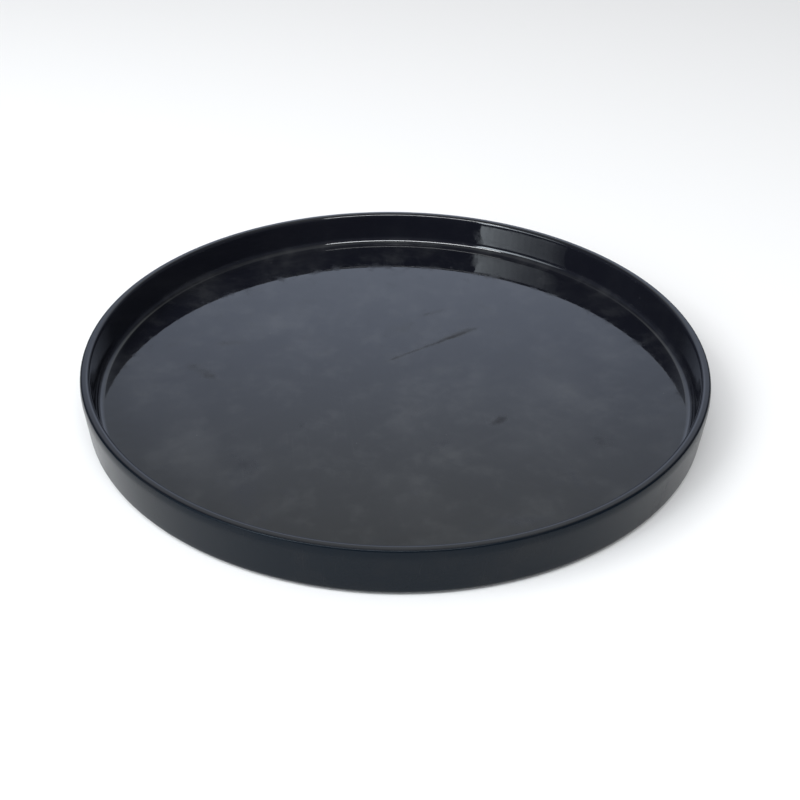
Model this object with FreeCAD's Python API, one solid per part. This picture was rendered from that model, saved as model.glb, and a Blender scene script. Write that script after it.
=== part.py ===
import FreeCAD, Part
import math
import os

# Serving tray, all lengths in millimetres. The origin is on the table, on the
# tray's axis, and +Z is up.

# Whole tray
tray_diameter = 350.0
tray_height = 28.6
body_lift = 1.0

# Rim and wall
rim_width = 5.4
rim_outer_rounding = 1.3
rim_inner_rounding = 2.2
wall_base_diameter = 347.0
wall_base_rounding = 3.0
well_draft_degrees = 2.4

# Floor of the well
floor_height = 7.6
floor_thickness = 3.2
floor_fillet = 4.7

# Foot ring, which is the bottom edge of the wall, and the hollow inside it
ring_inner_diameter = 334.0
ring_draft = 0.5
ring_inner_rounding = 0.6
hollow_fillet = 1.5

# Stiffening rib under the floor, and the mark that the moulding gate leaves
rib_mid_diameter = 190.0
rib_width = 2.4
rib_drop = 1.6
rib_draft = 0.3
gate_mark_diameter = 9.0
gate_mark_depth = 0.35

# Foot sockets
foot_circle_diameter = 284.0
boss_diameter = 21.0
boss_drop = 2.7
boss_root_fillet = 0.9
socket_slack = 0.2

# Rubber feet
pad_diameter = 19.0
pad_edge_rounding = 0.6
stem_diameter = 13.0
stem_length = 2.5
bead_height = 0.9
bead_proud = 0.35
grip_groove_diameters = (8.0, 13.0)
grip_groove_width = 1.0
grip_groove_depth = 0.35

# Each foot's place, as an angle from +X
foot_angles = {
    "foot_back_right": 45.0,
    "foot_back_left": 135.0,
    "foot_front_left": 225.0,
    "foot_front_right": 315.0,
}

underside_height = floor_height - floor_thickness
boss_face_height = underside_height - boss_drop
z_axis = FreeCAD.Vector(0, 0, 1)


def revolved(points):
    """Turn a closed outline of (radius, height) points about the Z axis."""
    corners = [FreeCAD.Vector(radius, 0, height) for radius, height in points]
    outline = Part.makePolygon(corners + [corners[0]])
    return Part.Face(outline).revolve(FreeCAD.Vector(0, 0, 0), z_axis, 360.0)


def rings_at(shape, radius, height):
    """Circular edges of the shape about the Z axis, at one radius and height."""
    found = []
    for edge in shape.Edges:
        if not isinstance(edge.Curve, Part.Circle):
            continue
        centre = edge.Curve.Center
        on_axis = math.hypot(centre.x, centre.y) < 0.01
        same_radius = abs(edge.Curve.Radius - radius) < 0.01
        if on_axis and same_radius and abs(centre.z - height) < 0.01:
            found.append(edge)
    return found


def foot_place(name):
    """Where a foot's axis meets the table."""
    angle = math.radians(foot_angles[name])
    radius = foot_circle_diameter / 2
    return FreeCAD.Vector(radius * math.cos(angle), radius * math.sin(angle), 0)


def stem(length):
    """The foot's stem with its retaining bead, standing on the boss face."""
    radius = stem_diameter / 2
    bead_middle = boss_face_height + length - bead_height
    points = [
        (0, boss_face_height),
        (radius, boss_face_height),
        (radius, bead_middle - bead_height / 2),
        (radius + bead_proud, bead_middle),
        (radius, bead_middle + bead_height / 2),
        (radius, boss_face_height + length),
        (0, boss_face_height + length),
    ]
    return revolved(points)


def socket():
    """The space cut for one stem: its exact sides, and a little slack past its end."""
    space = stem(stem_length)
    slack_height = boss_face_height + stem_length
    slack = Part.makeCylinder(stem_diameter / 2, socket_slack, FreeCAD.Vector(0, 0, slack_height), z_axis)
    return space.fuse(slack).removeSplitter()


def shell():
    """The tray's turned shape, before the bosses are added below its floor."""
    outer = tray_diameter / 2
    rim_inner = outer - rim_width
    base_outer = wall_base_diameter / 2
    well_depth = tray_height - floor_height
    well_foot = rim_inner - well_depth * math.tan(math.radians(well_draft_degrees))
    ring_inner = ring_inner_diameter / 2
    rib_outer = rib_mid_diameter / 2 + rib_width / 2
    rib_inner = rib_mid_diameter / 2 - rib_width / 2
    rib_face = underside_height - rib_drop
    gate = gate_mark_diameter / 2
    points = [
        (0, floor_height),
        (well_foot, floor_height),
        (rim_inner, tray_height),
        (outer, tray_height),
        (base_outer, body_lift),
        (ring_inner, body_lift),
        (ring_inner - ring_draft, underside_height),
        (rib_outer + rib_draft, underside_height),
        (rib_outer, rib_face),
        (rib_inner, rib_face),
        (rib_inner - rib_draft, underside_height),
        (gate, underside_height),
        (gate, underside_height + gate_mark_depth),
        (0, underside_height + gate_mark_depth),
    ]
    turned = revolved(points)
    roundings = [
        (well_foot, floor_height, floor_fillet),
        (rim_inner, tray_height, rim_inner_rounding),
        (outer, tray_height, rim_outer_rounding),
        (base_outer, body_lift, wall_base_rounding),
        (ring_inner, body_lift, ring_inner_rounding),
        (ring_inner - ring_draft, underside_height, hollow_fillet),
    ]
    for radius, height, rounding in roundings:
        turned = turned.makeFillet(rounding, rings_at(turned, radius, height))
    return turned


def boss():
    """One round boss, its root flared into the floor's underside."""
    radius = boss_diameter / 2
    flare = boss_root_fillet
    middle = flare * (1 - math.sqrt(0.5))
    sunk = underside_height + 0.5
    start = FreeCAD.Vector(radius, 0, underside_height - flare)
    bend = FreeCAD.Vector(radius + middle, 0, underside_height - middle)
    end = FreeCAD.Vector(radius + flare, 0, underside_height)
    corners = [
        end,
        FreeCAD.Vector(radius + flare, 0, sunk),
        FreeCAD.Vector(0, 0, sunk),
        FreeCAD.Vector(0, 0, boss_face_height),
        FreeCAD.Vector(radius, 0, boss_face_height),
        start,
    ]
    edges = [Part.makeLine(a, b) for a, b in zip(corners, corners[1:])]
    edges.append(Part.Arc(start, bend, end).toShape())
    outline = Part.Wire(Part.__sortEdges__(edges))
    return Part.Face(outline).revolve(FreeCAD.Vector(0, 0, 0), z_axis, 360.0)


def tray_body():
    """The whole moulding: turned shell, four bosses, four sockets."""
    body = shell()
    for name in foot_angles:
        one_boss = boss()
        one_boss.translate(foot_place(name))
        body = body.fuse(one_boss)
    for name in foot_angles:
        one_socket = socket()
        one_socket.translate(foot_place(name))
        body = body.cut(one_socket)
    return body.removeSplitter()


def foot(name):
    """One rubber foot: a grooved pad under the boss, and a stem up into its socket."""
    radius = pad_diameter / 2
    points = [(0, boss_face_height), (radius, boss_face_height), (radius, 0)]
    for diameter in sorted(grip_groove_diameters, reverse=True):
        outer = diameter / 2 + grip_groove_width / 2
        inner = diameter / 2 - grip_groove_width / 2
        points.append((outer, 0))
        points.append((outer, grip_groove_depth))
        points.append((inner, grip_groove_depth))
        points.append((inner, 0))
    points.append((0, 0))
    pad = revolved(points)
    pad = pad.makeFillet(pad_edge_rounding, rings_at(pad, radius, 0))
    whole = pad.fuse(stem(stem_length)).removeSplitter()
    whole.translate(foot_place(name))
    return whole


os.makedirs("parts", exist_ok=True)
pieces = {"tray_body": tray_body()}
for foot_name in foot_angles:
    pieces[foot_name] = foot(foot_name)

for piece_name, piece in pieces.items():
    solid = piece.Solids[0]
    box = solid.BoundBox
    print(piece_name, "solids", len(piece.Solids), "valid", solid.isValid(), "volume", round(solid.Volume, 1))
    print("  z from", round(box.ZMin, 3), "to", round(box.ZMax, 3), "across", round(box.XLength, 3))
    solid.exportStep("parts/" + piece_name + ".step")
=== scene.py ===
import bpy
import math
from mathutils import Matrix, Vector


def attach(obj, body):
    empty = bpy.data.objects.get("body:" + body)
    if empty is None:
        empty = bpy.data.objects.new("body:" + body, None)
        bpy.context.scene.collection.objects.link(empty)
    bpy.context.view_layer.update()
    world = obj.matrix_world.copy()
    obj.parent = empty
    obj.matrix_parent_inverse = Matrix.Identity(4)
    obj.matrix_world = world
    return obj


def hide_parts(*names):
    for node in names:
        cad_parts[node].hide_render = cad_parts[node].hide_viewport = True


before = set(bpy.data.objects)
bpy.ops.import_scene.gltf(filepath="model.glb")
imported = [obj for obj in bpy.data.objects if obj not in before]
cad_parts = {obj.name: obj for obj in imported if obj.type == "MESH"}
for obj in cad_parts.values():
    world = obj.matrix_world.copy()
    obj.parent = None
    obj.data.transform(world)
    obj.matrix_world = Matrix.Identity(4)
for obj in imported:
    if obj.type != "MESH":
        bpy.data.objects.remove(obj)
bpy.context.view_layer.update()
mm = 0.001
print("packed tray loaded")


def deselectAll():
    if bpy.context.object and bpy.context.object.mode != "OBJECT":
        bpy.ops.object.mode_set(mode="OBJECT")
    bpy.ops.object.select_all(action="DESELECT")


def onlySelect(piece):
    deselectAll()
    piece.select_set(True)
    bpy.context.view_layer.objects.active = piece


def arcStations(centre, radius, startDegrees, endDegrees, steps):
    # points of a rounding in the (radius, height) plane
    points = []
    for step in range(steps + 1):
        angle = math.radians(startDegrees + (endDegrees - startDegrees) * step / steps)
        points.append((centre[0] + radius * math.cos(angle), centre[1] + radius * math.sin(angle)))
    return points


def lineStations(start, end, steps):
    # points between two corners, without the corners themselves
    points = []
    for step in range(1, steps):
        share = step / steps
        points.append((start[0] + (end[0] - start[0]) * share, start[1] + (end[1] - start[1]) * share))
    return points


def turnRings(name, stations, segments):
    # a ring is extruded and resized from station to station, then both ends are capped
    deselectAll()
    startRadius, startHeight = stations[0]
    bpy.ops.mesh.primitive_circle_add(vertices=segments, radius=startRadius * mm, fill_type="NOTHING")
    piece = bpy.context.object
    piece.name = name
    piece.data.name = name
    bpy.ops.object.mode_set(mode="EDIT")
    bpy.ops.mesh.select_all(action="SELECT")
    bpy.ops.transform.translate(value=(0, 0, startHeight * mm))
    bpy.ops.mesh.edge_face_add()
    for (radius, height), (nextRadius, nextHeight) in zip(stations, stations[1:]):
        rise = (0, 0, (nextHeight - height) * mm)
        if radius == startRadius and height == startHeight:
            bpy.ops.mesh.select_all(action="SELECT")
            bpy.ops.mesh.region_to_loop()
        bpy.ops.mesh.extrude_edges_move(TRANSFORM_OT_translate={"value": rise})
        spread = nextRadius / radius
        bpy.ops.transform.resize(value=(spread, spread, 1), center_override=(0, 0, nextHeight * mm))
    bpy.ops.mesh.edge_face_add()
    bpy.ops.mesh.select_all(action="SELECT")
    bpy.ops.mesh.normals_make_consistent(inside=False)
    bpy.ops.object.mode_set(mode="OBJECT")
    return piece


tray = {
    "segments": 512,
    "outerRadius": 175.0,
    "rimHeight": 28.6,
    "rimWidth": 5.4,
    "lipRounding": 2.2,
    "baseRadius": 173.5,
    "baseHeight": 1.0,
    "baseRounding": 3.0,
    "floorHeight": 7.6,
    "wellDraft": 2.4,
    "floorFillet": 4.7,
    "undersideHeight": 4.4,
    "ringRadius": 167.0,
    "ringDraft": 0.5,
    "hollowFillet": 1.5,
    "ribRadius": 95.0,
    "ribWidth": 2.4,
    "ribDrop": 1.6,
    "gateRadius": 4.5,
    "gateDepth": 0.35,
}
# the rim is nearly flat, turns over a tight edge, and swells into the wall
outerEdge = [
    {"radius": 12.0, "from": 90.0, "to": 87.0, "steps": 2},
    {"radius": 1.3, "from": 87.0, "to": 14.0, "steps": 10},
    {"radius": 14.0, "from": 14.0, "to": -3.1, "steps": 6},
]


def outerEdgeStations(outerRadius, rimHeight):
    # the three arcs are laid end to end, then moved so that they finish at the outer radius
    points = [(0.0, 0.0)]
    for arc in outerEdge:
        begin = math.radians(arc["from"])
        lastRadius, lastHeight = points[-1]
        centre = (lastRadius - arc["radius"] * math.cos(begin), lastHeight - arc["radius"] * math.sin(begin))
        points += arcStations(centre, arc["radius"], arc["from"], arc["to"], arc["steps"])[1:]
    widest = max(radius for radius, height in points)
    return [(radius + outerRadius - widest, height + rimHeight) for radius, height in points]


def wellStations():
    # floor, fillet, drafted inner wall and the lip at the rim's inner edge
    rimInner = tray["outerRadius"] - tray["rimWidth"]
    draft = math.radians(tray["wellDraft"])
    wallFoot = rimInner - (tray["rimHeight"] - tray["floorHeight"]) * math.tan(draft)
    fillet = tray["floorFillet"]
    filletCentre = (wallFoot - fillet * math.tan((math.pi / 2 - draft) / 2), tray["floorHeight"] + fillet)
    centre = (3.0, tray["floorHeight"])
    points = [centre] + lineStations(centre, (filletCentre[0], tray["floorHeight"]), 16)
    filletArc = arcStations(filletCentre, fillet, -90.0, -tray["wellDraft"], 18)
    lip = tray["lipRounding"]
    lipCentre = (rimInner + lip * math.tan((math.pi / 2 - draft) / 2), tray["rimHeight"] - lip)
    lipArc = arcStations(lipCentre, lip, 180.0 - tray["wellDraft"], 90.0, 8)
    return points + filletArc + lineStations(filletArc[-1], lipArc[0], 6) + lipArc


def undersideStations():
    # rounded base edge, foot ring, hollow, stiffening rib and gate mark
    t = tray
    lean = math.atan2(t["outerRadius"] - t["baseRadius"], t["rimHeight"] - t["baseHeight"])
    base = t["baseRounding"]
    baseCentre = (t["baseRadius"] - base * math.tan((math.pi / 2 - lean) / 2), t["baseHeight"] + base)
    points = arcStations(baseCentre, base, -math.degrees(lean), -90.0, 9)
    ring = t["ringRadius"]
    points += arcStations((ring + 0.6, t["baseHeight"] + 0.6), 0.6, 270.0, 180.0, 4)
    under = t["undersideHeight"]
    hollow = t["hollowFillet"]
    hollowArc = arcStations((ring - t["ringDraft"] - hollow, under - hollow), hollow, 0.0, 90.0, 6)
    ribOuter = t["ribRadius"] + t["ribWidth"] / 2
    ribInner = t["ribRadius"] - t["ribWidth"] / 2
    ribFace = under - t["ribDrop"]
    points += hollowArc + lineStations(hollowArc[-1], (ribOuter + 0.5, under), 6)
    points += [(ribOuter + 0.5, under), (ribOuter + 0.25, under - 0.08), (ribOuter + 0.1, under - 0.3)]
    points += [(ribOuter, ribFace + 0.3), (ribOuter - 0.09, ribFace + 0.09), (ribOuter - 0.3, ribFace)]
    points += [(ribInner + 0.3, ribFace), (ribInner + 0.09, ribFace + 0.09), (ribInner, ribFace + 0.3)]
    points += [(ribInner - 0.1, under - 0.3), (ribInner - 0.25, under - 0.08), (ribInner - 0.5, under)]
    points += lineStations((ribInner - 0.5, under), (t["gateRadius"] + 0.15, under), 6)
    points += [(t["gateRadius"] + 0.15, under), (t["gateRadius"], under + t["gateDepth"])]
    points += [(1.5, under + t["gateDepth"])]
    return points


def trayStations():
    well = wellStations()
    edge = outerEdgeStations(tray["outerRadius"], tray["rimHeight"])
    underside = undersideStations()
    points = well + lineStations(well[-1], edge[0], 3) + edge
    return points + lineStations(edge[-1], underside[0], 9) + underside


trayBody = turnRings("trayMoulding", trayStations(), tray["segments"])
print("tray moulding turned:", len(trayBody.data.polygons), "faces")

footing = {
    "circleRadius": 142.0,
    "angles": {"back_right": 45.0, "back_left": 135.0, "front_left": 225.0, "front_right": 315.0},
    "bossRadius": 10.5,
    "bossDrop": 2.7,
    "bossFlare": 0.9,
    "stemRadius": 6.5,
    "socketDepth": 2.7,
}


def footPlace(name):
    turn = math.radians(footing["angles"][name])
    return Vector((math.cos(turn), math.sin(turn), 0)) * footing["circleRadius"] * mm


def placeMesh(piece, place):
    # the piece's place goes into its mesh, and its object stays at the origin
    onlySelect(piece)
    piece.location = place
    bpy.ops.object.transform_apply(location=True, rotation=True, scale=True)


def carve(target, tool, operation):
    onlySelect(target)
    step = target.modifiers.new("carve", "BOOLEAN")
    step.operation = operation
    step.solver = "EXACT"
    step.object = tool
    bpy.ops.object.modifier_apply(modifier=step.name)
    bpy.data.objects.remove(tool)


under = tray["undersideHeight"]
bossFace = under - footing["bossDrop"]
flare = footing["bossFlare"]
flareArc = arcStations((footing["bossRadius"] + flare, under - flare), flare, 90.0, 180.0, 5)
bossOutline = [(2.0, under + 0.6), (footing["bossRadius"] + flare, under + 0.6)] + flareArc
bossOutline += [(footing["bossRadius"], bossFace + 0.3), (footing["bossRadius"] - 0.09, bossFace + 0.09)]
bossOutline += [(footing["bossRadius"] - 0.3, bossFace), (2.0, bossFace)]
socketTop = bossFace + footing["socketDepth"]
socketOutline = [(2.0, socketTop), (footing["stemRadius"], socketTop)]
socketOutline += [(footing["stemRadius"], bossFace - 1.0), (2.0, bossFace - 1.0)]
for name in footing["angles"]:
    boss = turnRings("boss", bossOutline, 72)
    placeMesh(boss, footPlace(name))
    carve(trayBody, boss, "UNION")
    socket = turnRings("socket", socketOutline, 72)
    placeMesh(socket, footPlace(name))
    carve(trayBody, socket, "DIFFERENCE")
onlySelect(trayBody)
bpy.ops.object.shade_smooth_by_angle(angle=math.radians(35))
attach(trayBody, "root")
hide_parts("tray_body")
print("bosses and sockets cut:", len(trayBody.data.polygons), "faces")

foot = {
    "segments": 96,
    "padRadius": 9.5,
    "edge": 0.6,
    "stemRadius": 6.5,
    "stemLength": 2.5,
    "bead": 0.35,
    "beadHeight": 0.9,
    "grooves": (6.5, 4.0),
    "grooveWidth": 1.0,
    "grooveDepth": 0.35,
}


def footStations():
    f = foot
    stemTop = bossFace + f["stemLength"]
    beadMiddle = stemTop - f["beadHeight"]
    half = f["beadHeight"] / 2
    points = [(2.0, stemTop), (f["stemRadius"] - 0.15, stemTop), (f["stemRadius"], stemTop - 0.15)]
    points += [(f["stemRadius"], beadMiddle + half), (f["stemRadius"] + f["bead"], beadMiddle)]
    points += [(f["stemRadius"], beadMiddle - half), (f["stemRadius"], bossFace)]
    points += [(f["padRadius"] - 0.2, bossFace), (f["padRadius"] - 0.06, bossFace - 0.06)]
    points += [(f["padRadius"], bossFace - 0.2)]
    points += arcStations((f["padRadius"] - f["edge"], f["edge"]), f["edge"], 0.0, -90.0, 6)
    for middle in f["grooves"]:
        outer = middle + f["grooveWidth"] / 2
        inner = middle - f["grooveWidth"] / 2
        points += [(outer + 0.05, 0.0), (outer, 0.05), (outer - 0.12, f["grooveDepth"])]
        points += [(inner + 0.12, f["grooveDepth"]), (inner, 0.05), (inner - 0.05, 0.0)]
    return points + [(2.0, 0.0)]


feet = []
for name in footing["angles"]:
    if feet:
        onlySelect(feet[0])
        bpy.ops.object.duplicate()
        piece = bpy.context.object
        piece.name = "rubberFoot_" + name
        shift = footPlace(name) - firstPlace
    else:
        piece = turnRings("rubberFoot_" + name, footStations(), foot["segments"])
        onlySelect(piece)
        bpy.ops.object.shade_smooth_by_angle(angle=math.radians(40))
        firstPlace = footPlace(name)
        shift = firstPlace
    placeMesh(piece, shift)
    piece.data.name = piece.name
    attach(piece, "root")
    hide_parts("foot_" + name)
    feet.append(piece)
print("rubber feet made")


class Wire:
    # one shader socket that can be added, subtracted and multiplied like a number
    tree = None

    def __init__(self, socket):
        self.socket = socket

    @staticmethod
    def make(kind, settings=None, **values):
        node = Wire.tree.nodes.new(kind)
        for key, value in (settings or {}).items():
            setattr(node, key, value)
        for key, value in values.items():
            name = key.replace("_", " ")
            socket = node.inputs[int(key[1:])] if key[0] == "i" and key[1:].isdigit() else node.inputs[name]
            if isinstance(value, Wire):
                Wire.tree.links.new(value.socket, socket)
            else:
                socket.default_value = value
        return node

    @staticmethod
    def maths(operation, *terms):
        values = {f"i{i}": term for i, term in enumerate(terms)}
        node = Wire.make("ShaderNodeMath", {"operation": operation}, **values)
        return Wire(node.outputs[0])

    def __add__(self, other):
        return Wire.maths("ADD", self, other)

    def __sub__(self, other):
        return Wire.maths("SUBTRACT", self, other)

    def __mul__(self, other):
        return Wire.maths("MULTIPLY", self, other)

    def __rsub__(self, other):
        return Wire.maths("SUBTRACT", other, self)

    __radd__ = __add__
    __rmul__ = __mul__


def fade(value, low, high, outLow=0.0, outHigh=1.0):
    settings = {"interpolation_type": "SMOOTHSTEP"}
    node = Wire.make("ShaderNodeMapRange", settings, i0=value, i1=low, i2=high, i3=outLow, i4=outHigh)
    return Wire(node.outputs[0])


def noise(place, scale, detail, roughness):
    node = Wire.make("ShaderNodeTexNoise", {}, Vector=place, Scale=scale, Detail=detail, Roughness=roughness)
    return Wire(node.outputs["Fac"])


def mixColour(share, first, second):
    node = Wire.make("ShaderNodeMix", {"data_type": "RGBA"}, i0=share, i6=first, i7=second)
    return Wire(node.outputs[2])


def newMaterial(name):
    material = bpy.data.materials.new(name)
    material.use_nodes = True
    Wire.tree = material.node_tree
    shader = next(n for n in Wire.tree.nodes if n.type == "BSDF_PRINCIPLED")
    return material, shader


def feed(shader, socket, value):
    if isinstance(value, Wire):
        Wire.tree.links.new(value.socket, shader.inputs[socket])
    else:
        shader.inputs[socket].default_value = value


def bump(height, distance, under=None):
    # distance is the depth in metres that a height of one stands for
    wires = {"Strength": 1.0, "Distance": distance, "Height": height}
    if under:
        wires["Normal"] = under
    return Wire(Wire.make("ShaderNodeBump", {}, **wires).outputs["Normal"])


def turned(place, degrees, stretch):
    # coordinates turned about the upright axis and then stretched, for marks that run one way
    angles = (0.0, 0.0, math.radians(degrees))
    first = Wire(Wire.make("ShaderNodeMapping", {}, Vector=place, Rotation=angles).outputs[0])
    return Wire(Wire.make("ShaderNodeMapping", {}, Vector=first, Scale=stretch).outputs[0])


def specks(place, scale, size, share):
    # small round spots in some of the cells of a cellular pattern
    cells = Wire.make("ShaderNodeTexVoronoi", {"feature": "F1"}, Vector=place, Scale=scale)
    distance = Wire(cells.outputs["Distance"])
    pick = Wire(Wire.make("ShaderNodeSeparateColor", {}, Color=Wire(cells.outputs["Color"])).outputs[0])
    return fade(distance, size, size * 0.6) * fade(pick, 1.0 - share, 1.0 - share * 0.8)


def scratches(place):
    # sparse hairlines in three directions
    total = 0.0
    for degrees, lift in ((24.0, 0.0), (-52.0, 3.7), (81.0, 9.1)):
        line = noise(turned(place, degrees, (26.0, 1400.0, 26.0)), 1.0, 0.0, 0.5)
        patch = noise(turned(place, degrees + 15.0, (9.0, 9.0, 9.0)), 1.0 + lift * 0.1, 1.0, 0.5)
        total = fade(line, 0.74, 0.79) * fade(patch, 0.52, 0.62) + total
    return total


# places where handling has dulled the floor, in millimetres and degrees
dulledMarks = [
    {"at": (17, 29), "size": (96, 3.5), "turn": 36, "dull": 0.55},
    {"at": (38, 45), "size": (36, 8), "turn": 34, "dull": 0.60},
    {"at": (23, 71), "size": (40, 6), "turn": 30, "dull": 0.35},
    {"at": (5, 50), "size": (50, 34), "turn": 30, "dull": 0.16},
    {"at": (57, -45), "size": (19, 9), "turn": 52, "dull": 0.90},
    {"at": (24, -69), "size": (20, 11), "turn": 37, "dull": 0.50},
    {"at": (12, -44), "size": (36, 26), "turn": 80, "dull": 0.22},
    {"at": (-50, -53), "size": (12, 6), "turn": -75, "dull": 0.50},
    {"at": (92, -93), "size": (30, 8), "turn": -71, "dull": 0.40},
    {"at": (113, -65), "size": (28, 17), "turn": -20, "dull": 0.45},
    {"at": (-75, -100), "size": (90, 28), "turn": -78, "dull": 0.40},
    {"at": (-111, -3), "size": (42, 10), "turn": -40, "dull": 0.40},
    {"at": (-100, 30), "size": (26, 9), "turn": 6, "dull": 0.40},
    {"at": (60, -128), "size": (40, 14), "turn": 10, "dull": 0.30},
]
hazedMarks = [
    {"at": (-104, -79), "size": (66, 34), "turn": -76, "dull": 0.55},
    {"at": (98, -20), "size": (70, 30), "turn": -44, "dull": 0.45},
    {"at": (-72, 59), "size": (70, 34), "turn": 38, "dull": 0.45},
    {"at": (128, 30), "size": (30, 50), "turn": 10, "dull": 0.35},
]


def handling(place, marks, ragged):
    total = 0.0
    for mark in marks:
        centre = (mark["at"][0] * mm, mark["at"][1] * mm, tray["floorHeight"] * mm)
        spread = (mark["size"][0] * mm / 2, mark["size"][1] * mm / 2, 0.02)
        turn = (0.0, 0.0, math.radians(mark["turn"]))
        values = {"Vector": place, "Location": centre, "Rotation": turn, "Scale": spread}
        near = Wire(Wire.make("ShaderNodeMapping", {"vector_type": "TEXTURE"}, **values).outputs[0])
        reach = Wire(Wire.make("ShaderNodeVectorMath", {"operation": "LENGTH"}, i0=near).outputs["Value"])
        total = fade(reach + ragged, 1.15, 0.15) * mark["dull"] + total
    return total


def glossMoulding():
    look = {
        "black": (0.0072, 0.0078, 0.0126, 1.0),
        "haze": (0.0410, 0.0425, 0.0460, 1.0),
        "dust": (0.10, 0.105, 0.11, 1.0),
        "roughness": 0.022,
        "hazeRoughness": 0.050,
        "dustRoughness": 0.3,
        "marksRoughness": 0.04,
        "dulledRoughness": 0.52,
        "mottleRoughness": 0.17,
        "waveScale": 125.0,
        "waveDepth": 0.00004,
        "peelDepth": 0.0000008,
        "marksDepth": 0.000004,
        "ior": 1.8,
    }
    material, shader = newMaterial("glossMoulding")
    place = Wire(Wire.make("ShaderNodeTexCoord").outputs["Object"])
    clouds = fade(noise(place, 17.0, 4.0, 0.62), 0.42, 0.72)
    fine = fade(noise(place, 70.0, 3.0, 0.6), 0.45, 0.75)
    wipes = fade(noise(turned(place, -38.0, (7.0, 42.0, 7.0)), 1.0, 3.0, 0.6), 0.55, 0.78)
    parts = Wire.make("ShaderNodeSeparateXYZ", {}, Vector=place)
    x, y, z = (Wire(parts.outputs[i]) for i in range(3))
    radius = Wire.maths("SQRT", x * x + y * y)
    ragged = noise(place, 130.0, 3.0, 0.6) * 0.9 - 0.45
    dulled = handling(place, dulledMarks, ragged)
    haze = clouds * 0.20 + fine * 0.26 + wipes * 0.22 + handling(place, hazedMarks, ragged) * 0.6
    # the walls are wiped cleaner than the floor
    haze = haze * fade(z, 0.0125, 0.0090, 0.2, 1.0)
    dust = specks(place, 105.0, 0.032, 0.16)
    marks = scratches(place) * fade(radius, 0.155, 0.140)
    colour = mixColour(haze, look["black"], look["haze"])
    colour = mixColour(dust * 0.8, colour, look["dust"])
    feed(shader, "Base Color", mixColour(marks * 0.07, colour, look["dust"]))
    mottle = noise(place, 95.0, 4.0, 0.65)
    rough = haze * look["hazeRoughness"] + look["roughness"]
    rough = rough + dust * look["dustRoughness"] + marks * look["marksRoughness"]
    rough = rough + dulled * look["dulledRoughness"] + fade(mottle, 0.45, 0.75) * look["mottleRoughness"]
    feed(shader, "Roughness", rough)
    ripple = noise(place, look["waveScale"], 1.0, 0.5) * fade(radius, 0.140, 0.158, 0.25, 1.0)
    waves = bump(ripple, look["waveDepth"])
    peel = bump(noise(place, 900.0, 2.0, 0.5), look["peelDepth"], waves)
    feed(shader, "Normal", bump(marks * -0.3 + dust, look["marksDepth"], peel))
    shader.inputs["IOR"].default_value = look["ior"]
    return material


def satinMoulding():
    look = {
        "black": (0.0034, 0.0060, 0.0100, 1.0),
        "rubbed": (0.0100, 0.0107, 0.0130, 1.0),
        "dust": (0.09, 0.09, 0.092, 1.0),
        "roughness": 0.20,
        "grainDepth": 0.000028,
        "dragDepth": 0.000004,
        "ior": 1.24,
        "tint": (0.90, 1.0, 1.09, 1.0),
    }
    material, shader = newMaterial("satinMoulding")
    place = Wire(Wire.make("ShaderNodeTexCoord").outputs["Object"])
    clouds = fade(noise(place, 30.0, 3.0, 0.6), 0.42, 0.72)
    grain = noise(place, 1500.0, 2.0, 0.6)
    drag = noise(turned(place, 0.0, (20.0, 20.0, 700.0)), 1.0, 2.0, 0.5)
    dust = specks(place, 160.0, 0.05, 0.2)
    marks = scratches(place)
    colour = mixColour(clouds * 0.5 + marks * 0.1, look["black"], look["rubbed"])
    feed(shader, "Base Color", mixColour(dust * 0.6, colour, look["dust"]))
    feed(shader, "Roughness", clouds * 0.06 + grain * 0.06 + look["roughness"] + marks * 0.03)
    base = bump(grain, look["grainDepth"])
    feed(shader, "Normal", bump(drag, look["dragDepth"], base))
    shader.inputs["IOR"].default_value = look["ior"]
    shader.inputs["Specular Tint"].default_value = look["tint"]
    return material


def footRubber():
    look = {
        "rubber": (0.020, 0.0205, 0.0215, 1.0),
        "scuffed": (0.045, 0.045, 0.046, 1.0),
        "dust": (0.16, 0.155, 0.15, 1.0),
        "roughness": 0.62,
        "grainDepth": 0.000030,
        "ior": 1.48,
    }
    material, shader = newMaterial("footRubber")
    place = Wire(Wire.make("ShaderNodeTexCoord").outputs["Object"])
    clouds = fade(noise(place, 180.0, 4.0, 0.6), 0.45, 0.7)
    grain = noise(place, 2600.0, 2.0, 0.6)
    dust = specks(place, 700.0, 0.09, 0.25)
    colour = mixColour(clouds * 0.5, look["rubber"], look["scuffed"])
    feed(shader, "Base Color", mixColour(dust * 0.5, colour, look["dust"]))
    feed(shader, "Roughness", clouds * 0.1 + grain * 0.12 + look["roughness"])
    feed(shader, "Normal", bump(grain, look["grainDepth"]))
    shader.inputs["IOR"].default_value = look["ior"]
    return material


# the rim and the inside are polished, and the wall's outside and the underside are satin
satinTop = 28.44 * mm
satinFloor = 7.3 * mm
trayBody.data.materials.clear()
trayBody.data.materials.append(glossMoulding())
trayBody.data.materials.append(satinMoulding())
for face in trayBody.data.polygons:
    reach = math.hypot(face.center.x, face.center.y)
    onWall = reach > tray["baseRadius"] * mm and face.center.z < satinTop
    face.material_index = 1 if onWall or face.center.z < satinFloor else 0
rubber = footRubber()
for piece in feet:
    piece.data.materials.clear()
    piece.data.materials.append(rubber)
print("materials made")

studio = {
    "tableColour": (0.86, 0.86, 0.865, 1.0),
    "pale": 1.0,
    "fill": 0.62,
    "fillColour": (1.0, 1.0, 1.0, 1.0),
    "paleColour": (1.0, 1.0, 1.0, 1.0),
    "lowBackdrop": (0.86, 0.97, 1.20, 1.0),
    "highBackdrop": (0.97, 1.02, 0.98, 1.0),
}

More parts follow.
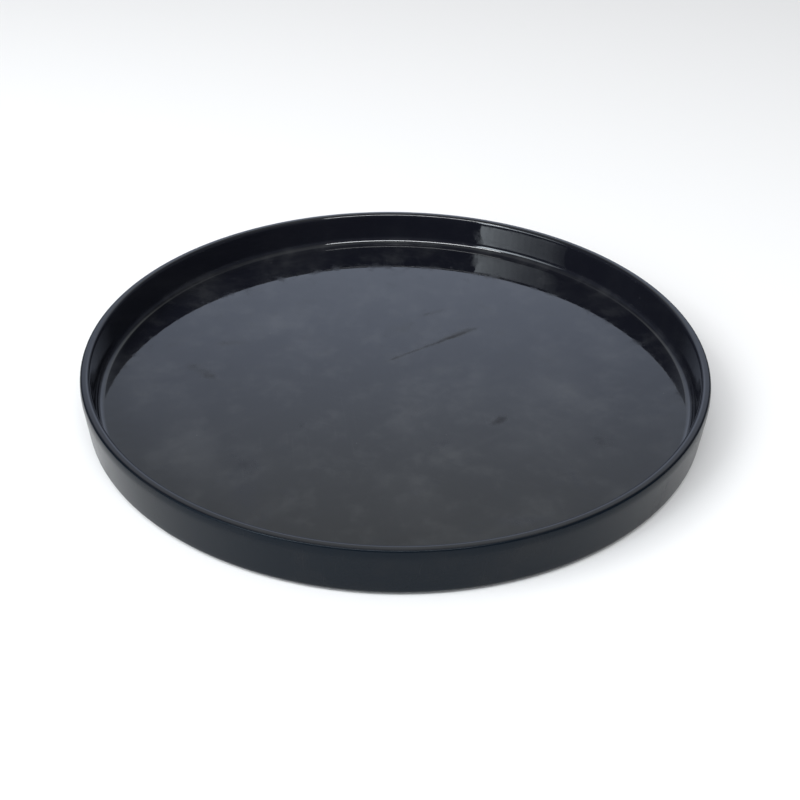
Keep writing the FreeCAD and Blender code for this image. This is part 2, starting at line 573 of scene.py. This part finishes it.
deselectAll()
bpy.ops.mesh.primitive_circle_add(vertices=128, radius=4.0, fill_type="NGON")
table = bpy.context.object
table.name = "tableTop"
tableMaterial, tableShader = newMaterial("paleTable")
tableShader.inputs["Base Color"].default_value = studio["tableColour"]
tableShader.inputs["Roughness"].default_value = 0.6
tableShader.inputs["Specular IOR Level"].default_value = 0.0
table.data.materials.append(tableMaterial)


def studioWorld():
    # polished faces mirror a pale backdrop in a dim room, and everything else is lit evenly
    world = bpy.data.worlds.new("softStudio")
    bpy.context.scene.world = world
    world.use_nodes = True
    Wire.tree = world.node_tree
    mirrored = next(n for n in Wire.tree.nodes if n.type == "BACKGROUND")
    output = next(n for n in Wire.tree.nodes if n.type == "OUTPUT_WORLD")
    direction = Wire(Wire.make("ShaderNodeTexCoord").outputs["Generated"])
    parts = Wire.make("ShaderNodeSeparateXYZ", {}, Vector=direction)
    x, y, z = (Wire(parts.outputs[i]) for i in range(3))
    rise = Wire.maths("MINIMUM", Wire.maths("MAXIMUM", 0.82 - (z - 0.454) * 1.72, 0.26), 0.95)
    rise = rise * fade(z, 0.25, 0.44, 0.36, 1.0)
    across = Wire.maths("MAXIMUM", 1.0 - x * x * 3.4, 0.12)
    behind = fade(y, -0.05, 0.30)
    front = fade(z, 0.6, 0.99, 0.07, 0.22)
    level = behind * (rise * across - front) + front
    warmth = fade(z, 0.50, 0.72)
    colour = mixColour(warmth, studio["lowBackdrop"], studio["highBackdrop"])
    Wire.tree.links.new(level.socket, mirrored.inputs["Strength"])
    Wire.tree.links.new(colour.socket, mirrored.inputs["Color"])
    path = Wire.make("ShaderNodeLightPath")
    even = Wire.make("ShaderNodeBackground", {}, Color=studio["fillColour"], Strength=studio["fill"])
    pale = Wire.make("ShaderNodeBackground", {}, Color=studio["paleColour"], Strength=studio["pale"])
    first = Wire.make("ShaderNodeMixShader", {}, i0=Wire(path.outputs["Is Diffuse Ray"]))
    Wire.tree.links.new(mirrored.outputs[0], first.inputs[1])
    Wire.tree.links.new(even.outputs[0], first.inputs[2])
    both = Wire.make("ShaderNodeMixShader", {}, i0=Wire(path.outputs["Is Camera Ray"]))
    Wire.tree.links.new(first.outputs[0], both.inputs[1])
    Wire.tree.links.new(pale.outputs[0], both.inputs[2])
    Wire.tree.links.new(both.outputs[0], output.inputs["Surface"])


studioWorld()


def softBox(name, box, azimuth, width, radiance):
    # azimuth 0 is straight behind the camera, and grows towards the camera's left
    light = bpy.data.lights.new(name, "AREA")
    light.shape = "RECTANGLE"
    light.size = width
    light.size_y = box["height"]
    light.color = box["colour"]
    light.energy = radiance * width * box["height"] * math.pi
    lamp = bpy.data.objects.new(name, light)
    bpy.context.scene.collection.objects.link(lamp)
    turn = math.radians(270.0 - azimuth)
    rise = math.radians(box["elevation"])
    toward = Vector((math.cos(turn) * math.cos(rise), math.sin(turn) * math.cos(rise), math.sin(rise)))
    lamp.location = toward * box["distance"]
    facing = Vector((toward.x, toward.y, 0.0 if box["upright"] else toward.z))
    lamp.rotation_euler = facing.to_track_quat("Z", "Y").to_euler()
    return lamp


# the window is brightest at its near edge and fades away in narrow upright strips
windowLight = {
    "firstAzimuth": 36.6,
    "step": 2.8,
    "elevation": 30.0,
    "distance": 2.0,
    "height": 0.83,
    "upright": True,
    "radiance": (7.2, 6.2, 5.3, 4.7, 4.3, 3.7, 3.1, 2.5, 2.1, 1.9, 1.7, 1.4, 0.9, 0.5),
    "colour": (0.88, 0.97, 1.04),
}
# a long straight tube above and in front of the tray
tubeLight = {
    "elevation": 59.0,
    "distance": 1.95,
    "reach": (0.78, -1.25),
    "height": 0.20,
    "upright": False,
    "radiance": 15.0,
    "colour": (0.97, 1.0, 1.02),
}
# this one mainly lifts the table, and no face mirrors it
tableLight = {
    "azimuth": 62.0,
    "elevation": 44.0,
    "distance": 2.0,
    "width": 1.0,
    "height": 0.8,
    "upright": False,
    "radiance": 6.0,
    "colour": (1.0, 1.0, 1.0),
}


def placeLights():
    w = windowLight
    reach = w["distance"] * math.cos(math.radians(w["elevation"]))
    width = 2 * reach * math.tan(math.radians(w["step"] / 2))
    for i, radiance in enumerate(w["radiance"]):
        softBox("window_" + str(i), w, w["firstAzimuth"] + i * w["step"], width, radiance)
    t = tubeLight
    tube = softBox("tube", t, 0.0, t["reach"][0] - t["reach"][1], t["radiance"])
    tube.location.x = (t["reach"][0] + t["reach"][1]) / 2
    t = tableLight
    lift = softBox("tableLift", t, t["azimuth"], t["width"], t["radiance"])
    lift.visible_glossy = False


placeLights()

cameraSetup = {
    "lens": 49.392,
    "distance": 0.6395,
    "elevation": 34.555,
    "roll": 1.002,
    "across": 0.00260,
    "rise": -0.00926,
}


def makeCamera():
    c = cameraSetup
    data = bpy.data.cameras.new("studioCamera")
    data.lens = c["lens"]
    data.sensor_width = 36.0
    data.clip_start = 0.01
    data.clip_end = 50.0
    camera = bpy.data.objects.new("studioCamera", data)
    bpy.context.scene.collection.objects.link(camera)
    rise = math.radians(c["elevation"])
    roll = math.radians(c["roll"])
    back = Vector((0, -math.cos(rise), math.sin(rise)))
    up = Vector((0, math.sin(rise), math.cos(rise)))
    right = Vector((1, 0, 0))
    rolledRight = right * math.cos(roll) + up * math.sin(roll)
    rolledUp = up * math.cos(roll) - right * math.sin(roll)
    place = back * c["distance"] + right * c["across"] + up * c["rise"]
    turn = Matrix((rolledRight, rolledUp, back)).transposed().to_4x4()
    camera.matrix_world = Matrix.Translation(place) @ turn
    bpy.context.scene.camera = camera


makeCamera()
bpy.context.scene.view_settings.view_transform = "Standard"
print("stage, light and camera set")
